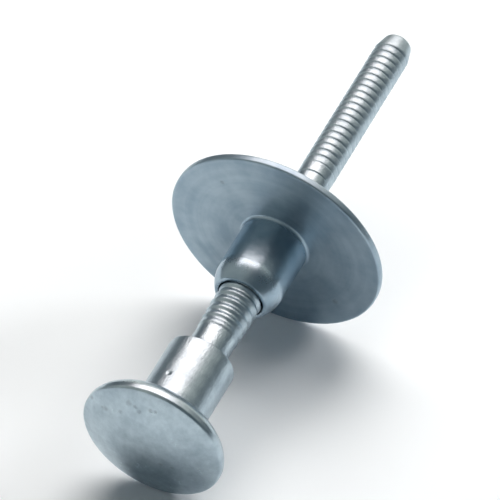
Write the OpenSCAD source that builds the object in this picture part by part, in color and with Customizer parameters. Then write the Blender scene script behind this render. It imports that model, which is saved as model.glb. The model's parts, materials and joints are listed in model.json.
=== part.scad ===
// Lock bolt with a flanged collar, for clamping panels.
// The pin is one piece of steel: a domed head, a thick shank that ends in a square shoulder,
// a thinner stem with ring-shaped lock grooves, a break neck and a long tail with pull grooves.
// The collar is one piece too: a tube with a rounded nose and a wide thin flange.
// It slides along the pin until its nose meets the shoulder inside the panel's hole.
// The bolt lies on the rims of its head and flange, on the floor at z = 0, with its tail towards +X.

/* [Head] */
// Diameter of the pin's head
head_d = 20.9; // [16:0.1:28]
// Height of the dome in front of the head's rim
head_dome_h = 2; // [1:0.1:4]
// Thickness of the head behind its dome, down to the bearing face
head_rim_t = 2.75; // [2.5:0.05:4]
// Round on the rim's front edge
head_edge_r = 0.5; // [0.2:0.05:0.8]
// Height of the sloped heel, from the bearing face to the head's widest part
head_heel_h = 1.7; // [0.5:0.05:2]
// How far the heel slopes in from the head's widest part to the bearing face
head_heel_in = 1.25; // [0.2:0.05:2]

/* [Shank] */
// Diameter of the thick shank
shank_d = 10; // [8.6:0.1:14]
// Length of the thick shank, from the head to the shoulder
shank_len = 12.75; // [8:0.05:30]
// Fillet between the head and the shank
shank_fillet_r = 0.4; // [0.1:0.05:0.8]
// Chamfer on the shoulder's edge
shoulder_chamfer = 0.15; // [0.05:0.05:0.6]

/* [Stem and lock grooves] */
// Diameter of the plain stem past the shoulder
stem_d = 5.88; // [5.2:0.02:6.3]
// Length of the plain stem, from the shoulder to the first lock ridge's foot
stem_len = 4.4; // [2:0.05:12]
// Fillet between the shoulder and the stem
stem_fillet_r = 0.3; // [0.1:0.05:0.8]
// Diameter over the lock ridges
lock_crest_d = 6.4; // [6:0.05:7]
// Diameter at the bottom of the lock grooves
lock_root_d = 5.6; // [4.6:0.05:5.9]
// Distance from one lock ridge to the next
lock_pitch = 1.4; // [1.1:0.01:2]
// Width of a lock ridge's flat top
lock_crest_w = 0.36; // [0.1:0.02:0.5]
// Width of a lock groove's flat bottom
lock_root_w = 0.42; // [0.1:0.02:0.5]
// Number of lock ridges
lock_count = 6; // [3:1:12]

/* [Break neck] */
// Diameter at the bottom of the break neck
break_d = 4.1; // [3:0.05:4.6]
// Width of the break neck
break_w = 1.1; // [0.6:0.05:2]

/* [Tail] */
// Diameter of the plain tail behind the break neck
tail_d = 5.1; // [4.7:0.05:5.6]
// Length of the plain tail, from the break neck to the first pull groove
tail_plain_len = 23.18; // [8:0.01:40]
// Distance from the line that the rolling die leaves to the first pull groove
die_line_gap = 1.86; // [1.3:0.01:4]
// Width of the die line
die_line_w = 0.34; // [0.1:0.02:0.6]
// Depth of the die line
die_line_depth = 0.12; // [0.04:0.01:0.2]
// Length of the slope that rises from the plain tail to the first pull groove's middle
pull_run_up = 0.7; // [0.45:0.05:0.9]
// Diameter over the lands between the pull grooves
pull_crest_d = 5.2; // [5:0.02:5.6]
// Diameter at the bottom of the pull grooves
pull_root_d = 4.9; // [4.4:0.02:5.1]
// Distance from one pull groove to the next
pull_pitch = 1.175; // [0.9:0.005:1.6]
// Width of a pull groove at its mouth
pull_mouth_w = 0.36; // [0.2:0.02:0.8]
// Distance from the shallow first pull groove to the next one
pull_run_in = 1.33; // [0.9:0.01:2]
// Number of full pull grooves
pull_count = 20; // [4:1:40]
// Length of the taper behind the last pull groove
taper_len = 1.95; // [0.5:0.05:4]
// Diameter at the end of the taper
taper_end_d = 4.24; // [3:0.02:4.8]
// Round on the tail's end
tip_r = 0.9; // [0.2:0.05:1.2]

/* [Collar] */
// Length of the collar's tube, from its nose to the flange's front
tube_len = 11.05; // [7:0.05:20]
// Radial difference by which the collar's tube is thinner than the shank
tube_play = 0.05; // [0:0.01:0.2]
// Radial gap between the lock ridges and the collar's bore
bore_gap = 0.2; // [0.1:0.02:0.4]
// Length of the rounded nose
nose_len = 3.3; // [1:0.1:4]
// Radius of the nose's rounding, seen from the side
nose_r = 5.6; // [5:0.1:12]
// Fillet between the tube and the flange
flange_fillet_r = 0.45; // [0.1:0.05:1.2]
// Diameter of the flange
flange_d = 31.9; // [24:0.1:40]
// Thickness of the flange
flange_t = 1.17; // [0.8:0.01:2]
// Round on the flange's edges
flange_edge_r = 0.3; // [0.1:0.05:0.38]
// Chamfer at the two ends of the bore
bore_chamfer = 0.2; // [0.05:0.05:0.3]
// Distance from the shoulder to the collar's nose, where the collar lies on the pin
collar_gap = 12.2; // [0.05:0.05:40]

/* [Hidden] */
$fn = 128;
arc_steps = 10;
rim_steps = 4;
dome_steps = 16;
steel = [0.70, 0.73, 0.76];
pin_seam = 177.2;
collar_seam = 90;

head_r = head_d / 2;
shank_r = shank_d / 2;
stem_r = stem_d / 2;
lock_crest_r = lock_crest_d / 2;
lock_root_r = lock_root_d / 2;
tail_r = tail_d / 2;
pull_crest_r = pull_crest_d / 2;
pull_root_r = pull_root_d / 2;
flange_r = flange_d / 2;
tube_r = shank_r - tube_play;
bore_r = lock_crest_r + bore_gap;

// Places along the pin's axis, from the head's bearing face towards the tail
lock_start = shank_len + stem_len;
lock_end = lock_start + lock_count * lock_pitch;
break_end = lock_end + break_w;
run_in_at = break_end + tail_plain_len;
die_line_at = run_in_at - die_line_gap;
pull_start = run_in_at + pull_run_in;
pull_end = pull_start + (pull_count - 1) * pull_pitch;
taper_start = pull_end + pull_mouth_w / 2;
taper_end = taper_start + taper_len;
collar_at = shank_len + collar_gap;

// The head's dome is a sphere that runs smoothly into the round of its rim
head_edge_at = head_edge_r - head_rim_t;
dome_r = (pow(head_r - head_edge_r, 2) + pow(head_dome_h + head_edge_r, 2) - pow(head_edge_r, 2))
    / (2 * head_dome_h);
dome_at = dome_r - head_dome_h - head_rim_t;
dome_angle = asin((head_r - head_edge_r) / (dome_r - head_edge_r));

// The round on the tail's end runs smoothly out of the taper
taper_angle = atan2(pull_crest_r - taper_end_d / 2, taper_len);
tip_centre = [taper_end_d / 2, taper_end] - tip_r * [cos(taper_angle), sin(taper_angle)];

// The floor touches the rims' rounded front edges, so it leans by this angle against the axis
flange_edge_at = collar_at + tube_len + flange_edge_r;
rims_apart = flange_edge_at - head_edge_at;
rims_rise = (flange_r - flange_edge_r) - (head_r - head_edge_r);
lean = atan2(rims_rise, rims_apart)
    - asin((head_edge_r - flange_edge_r) / norm([rims_apart, rims_rise]));
axis_height = head_edge_r + (head_r - head_edge_r) * cos(lean) - head_edge_at * sin(lean);

// The bolt is centred between its dome and its tail's end
low_x = dome_at * cos(lean) - dome_r;
high_x = tip_centre[1] * cos(lean) + tip_centre[0] * sin(lean) + tip_r;
middle_x = (low_x + high_x) / 2;

// Points of an arc, as [distance from the axis, place along it]: 0 faces the head, 90 outwards
function arc(centre, r, from, to, steps = arc_steps) =
    [for (i = [0:steps]) let (a = from + (to - from) * i / steps) centre + r * [sin(a), -cos(a)]];

// Points of one V-shaped groove between two lands
function groove(at, mouth_r, mouth_w, root_r) = [
    [mouth_r, at - mouth_w / 2],
    [root_r, at],
    [mouth_r, at + mouth_w / 2]
];

// Points of one ridge between two grooves
function ridge(at, crest_r) = [
    [lock_root_r, at - (lock_pitch - lock_root_w) / 2],
    [crest_r, at - lock_crest_w / 2],
    [crest_r, at + lock_crest_w / 2],
    [lock_root_r, at + (lock_pitch - lock_root_w) / 2]
];

// The first lock ridge is a shallow one, halfway between the stem and the full ridges
function ridge_crest(i) = i == 0 ? (stem_r + lock_crest_r) / 2 : lock_crest_r;

head_points = concat(
    arc([0, dome_at], dome_r, 0, dome_angle, dome_steps),
    arc([head_r - head_edge_r, head_edge_at], head_edge_r, dome_angle, 90, rim_steps),
    [[head_r, -head_heel_h], [head_r - head_heel_in, 0]]
);

shank_points = concat(
    arc([shank_r + shank_fillet_r, shank_fillet_r], shank_fillet_r, 0, -90),
    [[shank_r, shank_len - shoulder_chamfer], [shank_r - shoulder_chamfer, shank_len]],
    arc([stem_r + stem_fillet_r, shank_len + stem_fillet_r], stem_fillet_r, 0, -90),
    [[stem_r, lock_start]]
);

lock_points = [
    for (i = [0:lock_count - 1]) each ridge(lock_start + (i + 0.5) * lock_pitch, ridge_crest(i))
];

break_points = [
    [stem_r, lock_end],
    [break_d / 2, lock_end + break_w / 2],
    [tail_r, break_end]
];

tail_points = concat(
    groove(die_line_at, tail_r, die_line_w, tail_r - die_line_depth),
    [[tail_r, run_in_at - pull_run_up]],
    groove(run_in_at, pull_crest_r, pull_mouth_w, (pull_crest_r + pull_root_r) / 2),
    [for (i = [0:pull_count - 1])
        each groove(pull_start + i * pull_pitch, pull_crest_r, pull_mouth_w, pull_root_r)],
    arc(tip_centre, tip_r, 90 + taper_angle, 180),
    [[0, tip_centre[1] + tip_r]]
);

nose_angle = acos(nose_len / nose_r);

collar_points = concat(
    [[bore_r, bore_chamfer], [bore_r + bore_chamfer, 0]],
    arc([tube_r - nose_r, nose_len], nose_r, nose_angle, 90),
    arc([tube_r + flange_fillet_r, tube_len - flange_fillet_r], flange_fillet_r, -90, -180),
    arc([flange_r - flange_edge_r, tube_len + flange_edge_r], flange_edge_r, 0, 90, rim_steps),
    arc([flange_r - flange_edge_r, tube_len + flange_t - flange_edge_r], flange_edge_r, 90, 180, rim_steps),
    [
        [bore_r + bore_chamfer, tube_len + flange_t],
        [bore_r, tube_len + flange_t - bore_chamfer]
    ]
);

// Lays a piece that was turned about Z down on the floor, with its seam turned away from the floor
module laid_down(seam) {
    translate([-middle_x, 0, axis_height])
        rotate([0, 90 - lean, 0])
            rotate([0, 0, seam])
                children();
}

// Headed pin, turned and rolled from one bar of steel
module pin() {
    color(steel)
        laid_down(pin_seam)
            rotate_extrude()
                polygon(concat(head_points, shank_points, lock_points, break_points, tail_points));
}

// Collar with its flange, turned from one bar of steel
module flanged_collar() {
    color(steel)
        laid_down(collar_seam)
            translate([0, 0, collar_at])
                rotate_extrude()
                    polygon(collar_points);
}

pin();
flanged_collar();
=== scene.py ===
# A lock bolt for panels, lying on the rims of its head and its collar's flange.
# Two turned pieces of zinc-plated steel: a long headed pin, and a flanged collar that slides along it.

import json
from math import acos, asin, atan2, cos, pi, radians, sin, tau

import bmesh
import bpy
from mathutils import Matrix, Vector


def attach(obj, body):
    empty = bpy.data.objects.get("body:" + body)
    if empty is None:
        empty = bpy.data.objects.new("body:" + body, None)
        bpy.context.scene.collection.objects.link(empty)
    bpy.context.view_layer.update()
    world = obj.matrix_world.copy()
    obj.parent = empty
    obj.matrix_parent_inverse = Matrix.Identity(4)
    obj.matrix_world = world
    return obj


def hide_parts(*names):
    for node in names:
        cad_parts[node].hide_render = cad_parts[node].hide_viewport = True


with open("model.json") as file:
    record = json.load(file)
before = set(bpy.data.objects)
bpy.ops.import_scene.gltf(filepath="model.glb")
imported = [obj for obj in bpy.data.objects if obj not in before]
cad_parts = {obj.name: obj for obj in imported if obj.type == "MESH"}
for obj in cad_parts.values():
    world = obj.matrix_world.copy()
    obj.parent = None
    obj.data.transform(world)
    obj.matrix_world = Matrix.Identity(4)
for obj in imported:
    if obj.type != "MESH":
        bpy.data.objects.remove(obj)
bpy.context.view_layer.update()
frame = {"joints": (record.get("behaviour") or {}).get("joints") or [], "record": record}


# The pin, which carries everything else: one piece of steel wire, headed cold into a low dome with a thick
# rim and a sloped heel, rolled into ring-shaped lock and pull grooves, and plated with bright, bluish zinc.

# Sizes in millimetres: along the axis from the head's bearing face, and out from the axis
head_r, rim_thick, rim_front_r, dome_high = 10.45, 2.75, 0.5, 2.0
heel_high, heel_in = 1.7, 1.25
shank_r, shank_end = 5.0, 12.75
stem_r, stem_end = 2.94, 17.15
lock_pitch, lock_root_r, lock_foot, lock_top = 1.4, 2.93, 1.0, 0.4
lock_crests = [3.04, 3.1, 3.14, 3.2, 3.2, 3.2]
neck_r, neck_wide, neck_end = 2.05, 1.1, 26.65
tail_r, die_line, die_line_wide, die_line_deep = 2.55, 47.97, 0.34, 0.12
pull_crest_r, pull_root_r, pull_pitch, pull_grooves, pull_wide = 2.6, 2.45, 1.175, 20, 0.4
run_in, run_in_rise, run_in_wide, first_pull = 49.75, 0.7, 0.36, 50.95
taper_start, taper_end, taper_r, tip_r = 73.665, 75.615, 2.12, 0.9


def swing(profile, vert, centre, angle, steps):
    """Carries a point of a turning profile along an arc about a centre, and returns the arc's last point."""
    arc = bmesh.ops.spin(profile, geom=[vert], cent=(centre[0], 0, centre[1]), axis=(0, 1, 0),
                         angle=angle, steps=steps)
    return next(g for g in arc["geom_last"] if isinstance(g, bmesh.types.BMVert))


def cut(profile, vert, corners):
    """Carries a turning profile on through corners of (place, radius, rounding) to the last of them."""
    rounded = []
    for place, radius, rounding in corners:
        new = profile.verts.new((place, 0, radius))
        profile.edges.new((vert, new))
        vert = new
        rounded.append((new, rounding))
    # the last corner has no second edge yet, so it is never a rounded one
    for corner, rounding in rounded[:-1]:
        if rounding:
            bmesh.ops.bevel(profile, geom=[corner], offset=rounding, offset_type="OFFSET", segments=4,
                            profile=0.5, affect="VERTICES", material=-1)
    return vert


# The bolt's own axis, laid down on the two rims, is read from the joint that the collar slides on
slide_axis = Vector(frame["joints"][0]["axis"]).normalized()
bearing_face = next(m for m in frame["record"]["mounts"] if m["name"] == "head_bearing_face")
axis_point = Vector(bearing_face["pos_m"])
axis_point.y = 0
turn = Matrix.Rotation(-atan2(slide_axis.z, slide_axis.x), 4, "Y")
laid_down = Matrix.Translation(axis_point) @ turn @ Matrix.Scale(0.001, 4)


def set_out(name, shape):
    """Makes a finished shape an object of the scene."""
    mesh = bpy.data.meshes.new(name)
    shape.to_mesh(mesh)
    shape.free()
    made = bpy.data.objects.new(name, mesh)
    bpy.context.scene.collection.objects.link(made)
    return made


def turned(name, profile, steps):
    """Spins a profile about the bolt's axis into a closed piece, laid down where it belongs."""
    bmesh.ops.spin(profile, geom=profile.verts[:] + profile.edges[:], cent=(0, 0, 0), axis=(1, 0, 0),
                   angle=tau, steps=steps, use_merge=True)
    # the poles close as well
    bmesh.ops.remove_doubles(profile, verts=profile.verts, dist=0.0005)
    bmesh.ops.recalc_face_normals(profile, faces=profile.faces)
    for face in profile.faces:
        face.smooth = True
    bmesh.ops.transform(profile, matrix=laid_down, verts=profile.verts)
    piece = set_out(name, profile)
    # flat faces stay flat up to their rounded edges
    piece.modifiers.new("Flats", "WEIGHTED_NORMAL").weight = 90
    return piece


profile = bmesh.new()
dome_r = ((head_r - rim_front_r) ** 2 + (dome_high + rim_front_r) ** 2 - rim_front_r ** 2) / (2 * dome_high)
dome_angle = asin((head_r - rim_front_r) / (dome_r - rim_front_r))
point = profile.verts.new((-rim_thick - dome_high, 0, 0))
point = swing(profile, point, (dome_r - rim_thick - dome_high, 0), dome_angle, 30)
point = swing(profile, point, (rim_front_r - rim_thick, head_r - rim_front_r), pi / 2 - dome_angle, 12)
# the heel is a little crowned, as steel is that flowed into a die
corners = [(-heel_high, head_r, 0.12), (-1.25, head_r - 0.17, 0.2), (-0.7, head_r - 0.5, 0.25),
           (0, head_r - heel_in, 0.2)]
corners += [(0, shank_r, 0.4), (shank_end, shank_r, 0.16), (shank_end, stem_r, 0.3), (stem_end, stem_r, 0.1)]
for ridge, crest_r in enumerate(lock_crests):
    at = stem_end + (ridge + 0.5) * lock_pitch
    corners += [(at - lock_foot / 2, lock_root_r, 0.2), (at - lock_top / 2, crest_r, 0.19),
                (at + lock_top / 2, crest_r, 0.19), (at + lock_foot / 2, lock_root_r, 0.19)]
corners += [(neck_end - neck_wide, stem_r, 0.05), (neck_end - neck_wide / 2, neck_r, 0.2),
            (neck_end, tail_r, 0.1)]
corners += [(die_line - die_line_wide / 2, tail_r, 0.06), (die_line, tail_r - die_line_deep, 0.05),
            (die_line + die_line_wide / 2, tail_r, 0.06)]
# the first pull groove is half as deep, on a slope that rises from the plain tail
corners += [(run_in - run_in_rise, tail_r, 0.2), (run_in - run_in_wide / 2, pull_crest_r, 0.08),
            (run_in, (pull_crest_r + pull_root_r) / 2, 0.06), (run_in + run_in_wide / 2, pull_crest_r, 0.08)]
for groove in range(pull_grooves):
    at = first_pull + groove * pull_pitch
    corners += [(at - pull_wide / 2, pull_crest_r, 0.16), (at, pull_root_r, 0.08),
                (at + pull_wide / 2, pull_crest_r, 0.16)]
corners += [(taper_start, pull_crest_r, 0.1), (taper_end, taper_r, 0)]
point = cut(profile, point, corners)
taper_angle = atan2(pull_crest_r - taper_r, taper_end - taper_start)
tip_centre = (taper_end - tip_r * sin(taper_angle), taper_r - tip_r * cos(taper_angle))
point = swing(profile, point, tip_centre, pi / 2 - taper_angle, 12)
cut(profile, point, [(tip_centre[0] + tip_r, 0, 0)])
pin = turned("lock_pin", profile, 160)


def relief(tree, along, per_mm, detail):
    """A random height between 0 and 1, with so many hills a millimetre along and across the axis."""
    pace = tree.nodes.new("ShaderNodeMapping")
    pace.inputs["Scale"].default_value = per_mm
    tree.links.new(along.outputs[0], pace.inputs["Vector"])
    hills = tree.nodes.new("ShaderNodeTexNoise")
    hills.inputs["Scale"].default_value = 1
    hills.inputs["Detail"].default_value = detail
    tree.links.new(pace.outputs["Vector"], hills.inputs["Vector"])
    return hills


def by_place(tree, along, stops):
    """A level that changes along the axis, given as (place, level) from the head's side to the tail's."""
    split = tree.nodes.new("ShaderNodeSeparateXYZ")
    tree.links.new(along.outputs[0], split.inputs[0])
    share = tree.nodes.new("ShaderNodeMapRange")
    share.inputs["From Min"].default_value = stops[0][0]
    share.inputs["From Max"].default_value = stops[-1][0]
    tree.links.new(split.outputs["X"], share.inputs["Value"])
    ramp = tree.nodes.new("ShaderNodeValToRGB")
    for place, level in stops:
        position = (place - stops[0][0]) / (stops[-1][0] - stops[0][0])
        # a new ramp already has its two ends
        if 0 < position < 1:
            stop = ramp.color_ramp.elements.new(position)
        else:
            stop = ramp.color_ramp.elements[0 if position == 0 else -1]
        stop.color = (level, level, level, 1)
    tree.links.new(share.outputs["Result"], ramp.inputs["Fac"])
    return ramp.outputs["Color"]


def joined(tree, kind, one, two):
    """One number of a finish worked out from two, the second a level or a socket."""
    both = tree.nodes.new("ShaderNodeMath")
    both.operation = kind
    tree.links.new(one, both.inputs[0])
    if isinstance(two, float):
        both.inputs[1].default_value = two
    else:
        tree.links.new(two, both.inputs[1])
    return both.outputs[0]


def pressed(tree, height, microns, under=None):
    """Presses a height between 0 and 1 into a surface, so many thousandths of a millimetre deep."""
    bump = tree.nodes.new("ShaderNodeBump")
    bump.inputs["Strength"].default_value = 1
    bump.inputs["Distance"].default_value = microns / 1e6
    tree.links.new(height, bump.inputs["Height"])
    if under:
        tree.links.new(under.outputs["Normal"], bump.inputs["Normal"])
    tree.links.new(bump.outputs["Normal"], tree.nodes["Principled BSDF"].inputs["Normal"])
    return bump


def soft_step(tree, source, start, end, to=1.0):
    """A number that goes smoothly from 0 at the start to a level at the end."""
    step = tree.nodes.new("ShaderNodeMapRange")
    step.interpolation_type = "SMOOTHSTEP"
    step.inputs["From Min"].default_value = start
    step.inputs["From Max"].default_value = end
    step.inputs["To Max"].default_value = to
    tree.links.new(source, step.inputs["Value"])
    return step.outputs["Result"]


def dents(tree, along, places, wobble):
    """A height that falls from 1 to 0 at each dent, given as (place along, across, up, radius)."""
    # their edges stray by this many millimetres, and this share of a dent is flat
    stray, flat = 0.5, 0.25
    ragged = relief(tree, along, (wobble, wobble, wobble), 3)
    shift = tree.nodes.new("ShaderNodeVectorMath")
    shift.operation = "MULTIPLY_ADD"
    shift.inputs[1].default_value = (stray, stray, stray)
    tree.links.new(ragged.outputs["Color"], shift.inputs[0])
    tree.links.new(along.outputs[0], shift.inputs[2])
    level = None
    for x, y, z, radius in places:
        reach = tree.nodes.new("ShaderNodeVectorMath")
        reach.operation = "DISTANCE"
        reach.inputs[1].default_value = (x + stray / 2, y + stray / 2, z + stray / 2)
        tree.links.new(shift.outputs["Vector"], reach.inputs[0])
        bowl = soft_step(tree, reach.outputs["Value"], radius * flat, radius)
        level = joined(tree, "MINIMUM", level, bowl) if level else bowl
    return level


def bright_zinc(name, tint, dull, satin, knocks):
    """Zinc plating on steel, cloudy and knocked about, set out in millimetres along the bolt's axis."""
    zinc = bpy.data.materials.new(name)
    zinc.use_nodes = True
    tree = zinc.node_tree
    shader = tree.nodes["Principled BSDF"]
    shader.inputs["Metallic"].default_value = 1
    where = tree.nodes.new("ShaderNodeTexCoord")
    along = tree.nodes.new("ShaderNodeMapping")
    along.vector_type = "TEXTURE"
    along.inputs["Location"].default_value = axis_point
    along.inputs["Rotation"].default_value = turn.to_euler()
    along.inputs["Scale"].default_value = (0.001, 0.001, 0.001)
    tree.links.new(where.outputs["Object"], along.inputs["Vector"])
    flakes = relief(tree, along, (0.42, 0.42, 0.42), 6)
    flakes.inputs["Roughness"].default_value = 0.68
    clouds = flakes.outputs[0]
    tone = tree.nodes.new("ShaderNodeValToRGB")
    tone.name = "tone"
    for stop, position, colour in zip(tone.color_ramp.elements, (0.34, 0.66), (dull, tint)):
        stop.position = position
        stop.color = (*colour, 1)
    tree.links.new(clouds, tone.inputs["Fac"])
    # the knocks hold a little dirt
    level = dents(tree, along, knocks, 2.5)
    clean = joined(tree, "ADD", joined(tree, "MULTIPLY", level, 0.5), 0.5)
    dirt = tree.nodes.new("ShaderNodeMix")
    dirt.data_type = "RGBA"
    dirt.inputs["A"].default_value = (0.25, 0.29, 0.33, 1)
    tree.links.new(clean, dirt.inputs["Factor"])
    tree.links.new(tone.outputs["Color"], dirt.inputs["B"])
    tree.links.new(dirt.outputs["Result"], shader.inputs["Base Color"])
    # the bright clouds are smoother than the dull ones
    patchy = joined(tree, "MULTIPLY", clouds, -0.16)
    rough = joined(tree, "ADD", patchy, by_place(tree, along, satin))
    tree.links.new(rough, shader.inputs["Roughness"])
    return zinc, along, pressed(tree, level, 40)


# knocks from the tumbling drum: a scatter over the dome, and one clean nick on the shank
pin_knocks = [(-3.53, 6.06, 5.07, 0.58), (-3.43, 6.6, 4.9, 0.44), (-3.83, 3.65, 5.83, 0.46),
              (-3.43, 2.46, 7.85, 0.62), (-3.58, 1.39, 7.62, 0.42), (-3.76, 0.74, 7.09, 0.46),
              (-3.54, -0.92, 7.84, 0.5), (-3.48, -1.6, 7.9, 0.36), (-2.72, 8.58, 5.39, 0.5),
              (-4.6, -2.18, -1.72, 0.44), (-4.41, -3.72, -1.92, 0.4)]
shank_nick = [(5.6, 1.02, 4.88, 0.56)]
pin_satin = [(-5, 0.38), (0.2, 0.38), (0.6, 0.39), (12.7, 0.39), (12.8, 0.38), (17, 0.38), (17.4, 0.43),
             (26.6, 0.43), (27, 0.4), (47, 0.4), (50, 0.47), (77, 0.47)]
pin_zinc, along, sunk = bright_zinc("pin_zinc", tint=(0.495, 0.595, 0.65), dull=(0.35, 0.435, 0.495),
                                    satin=pin_satin, knocks=pin_knocks)
tree = pin_zinc.node_tree
sunk = pressed(tree, dents(tree, along, shank_nick, 1.2), 90, sunk)
cloudy = relief(tree, along, (1.1, 1.1, 1.1), 4).outputs[0]
soft = pressed(tree, cloudy, 28, sunk)
# the dome was wiped one way, and the shank has the coarsest grain
wiped = relief(tree, along, (2.4, 0.25, 2.4), 3).outputs[0]
on_dome = by_place(tree, along, [(-5, 1), (-2.5, 1), (-2, 0), (77, 0)])
brushed = pressed(tree, joined(tree, "MULTIPLY", wiped, on_dome), 16, soft)
grain = relief(tree, along, (4, 4, 4), 2).outputs[0]
coarse = by_place(tree, along, [(-5, 0.1), (0.2, 0.1), (0.6, 1), (17, 1), (17.4, 0.7), (26.6, 0.7), (27, 0.5),
                                (47, 0.5), (50, 0.7), (77, 0.7)])
pressed(tree, joined(tree, "MULTIPLY", grain, coarse), 50, brushed)
pin.data.materials.append(pin_zinc)
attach(pin, "pin")
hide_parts("pin")


# The collar, which slides onto the pin's tail with its nose towards the head: one turned piece of steel,
# a short tube that enters the panel's hole and a wide thin flange that bears on the panel's far face.
collar_start = 24.95
bore_r, bore_chamfer, tube_r, tube_long = 3.34, 0.12, 4.95, 11.05
nose_long, nose_r = 3.3, 5.6
flange_r, flange_thick, flange_round, flange_fillet = 15.95, 1.17, 0.3, 0.45

profile = bmesh.new()
nose_angle = acos(nose_long / nose_r)
start = profile.verts.new((collar_start + bore_chamfer, 0, bore_r))
point = cut(profile, start, [(collar_start, bore_r + bore_chamfer, 0),
                             (collar_start, tube_r - nose_r + nose_r * sin(nose_angle), 0)])
point = swing(profile, point, (collar_start + nose_long, tube_r - nose_r), pi / 2 - nose_angle, 16)
face = collar_start + tube_long
back = face + flange_thick
point = cut(profile, point, [(face, tube_r, flange_fillet), (face, flange_r, flange_round),
                             (back, flange_r, flange_round), (back, bore_r + bore_chamfer, 0),
                             (back - bore_chamfer, bore_r, 0)])
profile.edges.new((point, start))
collar = turned("collar_with_flange", profile, 192)

collar_knocks = [(36.0, -8.62, -8.6, 0.62), (36.0, 7.4, 9.3, 0.45), (36.0, 3.2, -13.1, 0.5)]
collar_satin = [(24, 0.41), (26, 0.37), (28.5, 0.33), (35.3, 0.31), (35.9, 0.48), (38, 0.48)]
collar_zinc, along, sunk = bright_zinc("collar_zinc", tint=(0.405, 0.505, 0.575), dull=(0.28, 0.375, 0.455),
                                       satin=collar_satin, knocks=collar_knocks)
tree = collar_zinc.node_tree
cloudy = relief(tree, along, (0.9, 0.9, 0.9), 4).outputs[0]
soft = pressed(tree, cloudy, 24, sunk)
# the lathe's rings, which follow the distance from the axis, show as fine grooves and as tone
spread = tree.nodes.new("ShaderNodeVectorMath")
spread.operation = "MULTIPLY"
spread.inputs[1].default_value = (0, 1, 1)
tree.links.new(along.outputs[0], spread.inputs[0])
out = tree.nodes.new("ShaderNodeVectorMath")
out.operation = "LENGTH"
tree.links.new(spread.outputs["Vector"], out.inputs[0])
rings = tree.nodes.new("ShaderNodeTexNoise")
rings.noise_dimensions = "1D"
rings.inputs["Scale"].default_value = 1.1
rings.inputs["Detail"].default_value = 4
tree.links.new(out.outputs["Value"], rings.inputs["W"])
pressed(tree, rings.outputs[0], 14, soft)
# with broad patches, they set the collar's tone in place of the clouds
patches = relief(tree, along, (0.3, 0.3, 0.3), 4).outputs[0]
ringed = joined(tree, "ADD", joined(tree, "MULTIPLY", rings.outputs[0], 0.2),
                joined(tree, "MULTIPLY", patches, 0.8))
tree.links.new(ringed, tree.nodes["tone"].inputs["Fac"])
collar.data.materials.append(collar_zinc)
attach(collar, "collar")
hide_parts("flanged_collar")


# The studio: a pale floor that fills the view, one broad softbox overhead and a little behind, and dark cloth
# round it, as a photographer lights bright metal. The cloth and the softbox's white front are glowing
# surfaces for the reflections in the steel alone, painted reflections of a dark room and a bright softbox;
# the lamps don't show in it.
floor_shape = bmesh.new()
bmesh.ops.create_circle(floor_shape, cap_ends=True, radius=2.5, segments=96)
floor = set_out("floor", floor_shape)
paper = bpy.data.materials.new("white_paper")
paper.use_nodes = True
tree = paper.node_tree
shader = tree.nodes["Principled BSDF"]
shader.inputs["Base Color"].default_value = (0.92, 0.945, 0.97, 1)
shader.inputs["Roughness"].default_value = 0.9
shader.inputs["Specular IOR Level"].default_value = 0.0


def seen(tree):
    """1 for rays that show the studio, straight or in a reflection, and 0 for those that light it."""
    path = tree.nodes.new("ShaderNodeLightPath")
    bounced = joined(tree, "MAXIMUM", path.outputs["Is Camera Ray"], path.outputs["Is Glossy Ray"])
    return joined(tree, "MAXIMUM", bounced, path.outputs["Is Transmission Ray"])


# the paper is a little brighter to look at than the light makes it, so that it is white to the edges
shader.inputs["Emission Color"].default_value = (1, 1, 1, 1)
tree.links.new(joined(tree, "MULTIPLY", seen(tree), 0.02), shader.inputs["Emission Strength"])
floor.data.materials.append(paper)


def only_reflected(name, shape):
    """A glowing surface of the studio that only reflections see, with its nodes and its glow."""
    surface = set_out(name, shape)
    surface.visible_camera = surface.visible_diffuse = surface.visible_shadow = False
    surface.visible_transmission = surface.visible_volume_scatter = False
    finish = bpy.data.materials.new(name)
    finish.use_nodes = True
    tree = finish.node_tree
    tree.nodes.remove(tree.nodes["Principled BSDF"])
    glow = tree.nodes.new("ShaderNodeEmission")
    tree.links.new(glow.outputs["Emission"], tree.nodes["Material Output"].inputs["Surface"])
    surface.data.materials.append(finish)
    return surface, tree, glow


# the cloth is a glowing dome of painted reflection, and covers the floor too from a sheet's width away
cloth_shape = bmesh.new()
cloth_high = Matrix.Translation((0, 0, 0.001))
sheet_middle = Matrix.Translation((-0.05, 0, 0.001))
bmesh.ops.create_uvsphere(cloth_shape, u_segments=48, v_segments=24, radius=2.4)
near = bmesh.ops.create_circle(cloth_shape, radius=0.17, segments=48, matrix=sheet_middle)
far = bmesh.ops.create_circle(cloth_shape, radius=2.38, segments=48, matrix=cloth_high)
hems = {edge for hem in (near, far) for vert in hem["verts"] for edge in vert.link_edges}
bmesh.ops.bridge_loops(cloth_shape, edges=list(hems))
cloth, tree, glow = only_reflected("painted_reflection_cloth", cloth_shape)
where = tree.nodes.new("ShaderNodeTexCoord")
facing = tree.nodes.new("ShaderNodeVectorMath")
facing.operation = "NORMALIZE"
tree.links.new(where.outputs["Object"], facing.inputs[0])
split = tree.nodes.new("ShaderNodeSeparateXYZ")
tree.links.new(facing.outputs["Vector"], split.inputs["Vector"])


def painted_glow_zone(tree, split, *steps):
    """A glowing patch painted on the cloth as a reflection, where soft steps of (direction, start, end,
    level) meet.
    """
    level = None
    for direction, start, end, to in steps:
        step = soft_step(tree, split.outputs[direction], start, end, to)
        level = joined(tree, "MULTIPLY", level, step) if level else step
    return level
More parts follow.
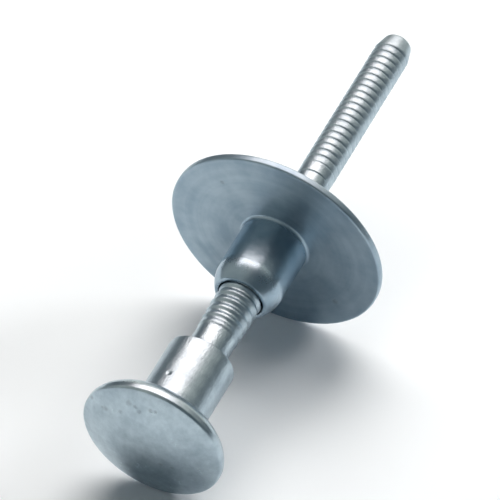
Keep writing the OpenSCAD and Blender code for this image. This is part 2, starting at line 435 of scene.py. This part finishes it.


# painted reflections glow on the cloth: a spill of the softbox on its right, a window's light from the left
# in front, and a white card low behind the tail; none of them is a lamp or a real thing
painted_spill = painted_glow_zone(tree, split, ("Z", 0.1, 0.95, 0.85), ("Y", -0.1, -0.35, 1), ("X", 0.1, 0.4, 1))
painted_window = painted_glow_zone(tree, split, ("X", 0.4, 0.1, 0.4), ("Y", -0.45, 0.35, 1), ("Z", 0, 0.15, 1))
painted_card = painted_glow_zone(tree, split, ("X", 0.74, 0.9, 1), ("Z", -0.05, 0.05, 1))
# the cloth's painted reflection: a dark blue-grey glow, and warm white where the glowing patches are
painted_reflection = tree.nodes.new("ShaderNodeMix")
painted_reflection.data_type = "RGBA"
painted_reflection.inputs["A"].default_value = (0.11, 0.14, 0.155, 1)
painted_reflection.inputs["B"].default_value = (1, 0.98, 0.88, 1)
painted_glow = joined(tree, "MAXIMUM", joined(tree, "ADD", painted_spill, painted_window), painted_card)
tree.links.new(painted_glow, painted_reflection.inputs["Factor"])
tree.links.new(painted_reflection.outputs["Result"], glow.inputs["Color"])


def hung(light, place):
    """Hangs a lamp in the studio, where it stays out of the reflections."""
    lamp = bpy.data.objects.new(light.name, light)
    lamp.location = place
    lamp.visible_glossy = False
    bpy.context.scene.collection.objects.link(lamp)
    return lamp


softbox_high, softbox_light, fill_light = 0.8, 4.5, 10
softbox = bpy.data.lights.new("softbox", "AREA")
softbox.shape = "RECTANGLE"
softbox.size = 1.63 * softbox_high
softbox.size_y = 1.18 * softbox_high
softbox.energy = softbox_light * pi * softbox.size * softbox.size_y
softbox.color = (1, 0.97, 0.93)
lamp = hung(softbox, (0.935 * softbox_high, 0.26 * softbox_high, softbox_high))
# its white front is a glowing plane that only reflections see, a painted highlight in the steel, dimmer and
# warmer than the lamps behind it
front_shape = bmesh.new()
bmesh.ops.create_grid(front_shape, x_segments=1, y_segments=1, size=0.5)
bmesh.ops.scale(front_shape, vec=(softbox.size, softbox.size_y, 1), verts=front_shape.verts)
bmesh.ops.translate(front_shape, vec=lamp.location, verts=front_shape.verts)
front, tree, glow = only_reflected("painted_softbox_highlight", front_shape)
glow.inputs["Color"].default_value = (1, 0.84, 0.785, 1)
glow.inputs["Strength"].default_value = 3.2
# a small lamp behind on the right lifts the shadow beside the head
fill = bpy.data.lights.new("fill", "AREA")
fill.size = 0.4
fill.energy = fill_light * pi * fill.size ** 2
lamp = hung(fill, (0.66, -0.78, 0.6))
lamp.rotation_euler = lamp.location.to_track_quat("Z", "Y").to_euler()

# the room gives a little bluish light, and is white to look at
world = bpy.data.worlds.new("pale_room")
bpy.context.scene.world = world
world.use_nodes = True
tree = world.node_tree
walls = tree.nodes.new("ShaderNodeMix")
walls.data_type = "RGBA"
walls.inputs["A"].default_value = (0.075, 0.09, 0.1, 1)
walls.inputs["B"].default_value = (1, 1, 1, 1)
tree.links.new(seen(tree), walls.inputs["Factor"])
tree.links.new(walls.outputs["Result"], tree.nodes["Background"].inputs["Color"])

# The camera stands well back and looks down along the bolt from the head's side. It aims at a point of the
# axis, from which the picture is shifted by a few pixels
azimuth, elevation, distance, aim_along = radians(-63.969), radians(41.713), 1.2, 0.02905
picture_px, px_per_metre, left_px, up_px = 500, 7270, 3.2, 27.7
back_to_camera = Vector((sin(azimuth) * cos(elevation), -cos(azimuth) * cos(elevation), sin(elevation)))
across = Vector((cos(azimuth), sin(azimuth), 0))
upward = back_to_camera.cross(across)
aim = axis_point + aim_along * slide_axis - left_px / px_per_metre * across + up_px / px_per_metre * upward
camera_data = bpy.data.cameras.new("camera")
camera_data.sensor_width = 36
camera_data.lens = camera_data.sensor_width * px_per_metre * distance / picture_px
camera_data.clip_start = 0.1
camera_data.clip_end = 10
camera = bpy.data.objects.new("camera", camera_data)
camera.location = aim + distance * back_to_camera
camera.rotation_euler = back_to_camera.to_track_quat("Z", "Y").to_euler()
bpy.context.scene.collection.objects.link(camera)
bpy.context.scene.camera = camera
bpy.context.scene.view_settings.view_transform = "Standard"
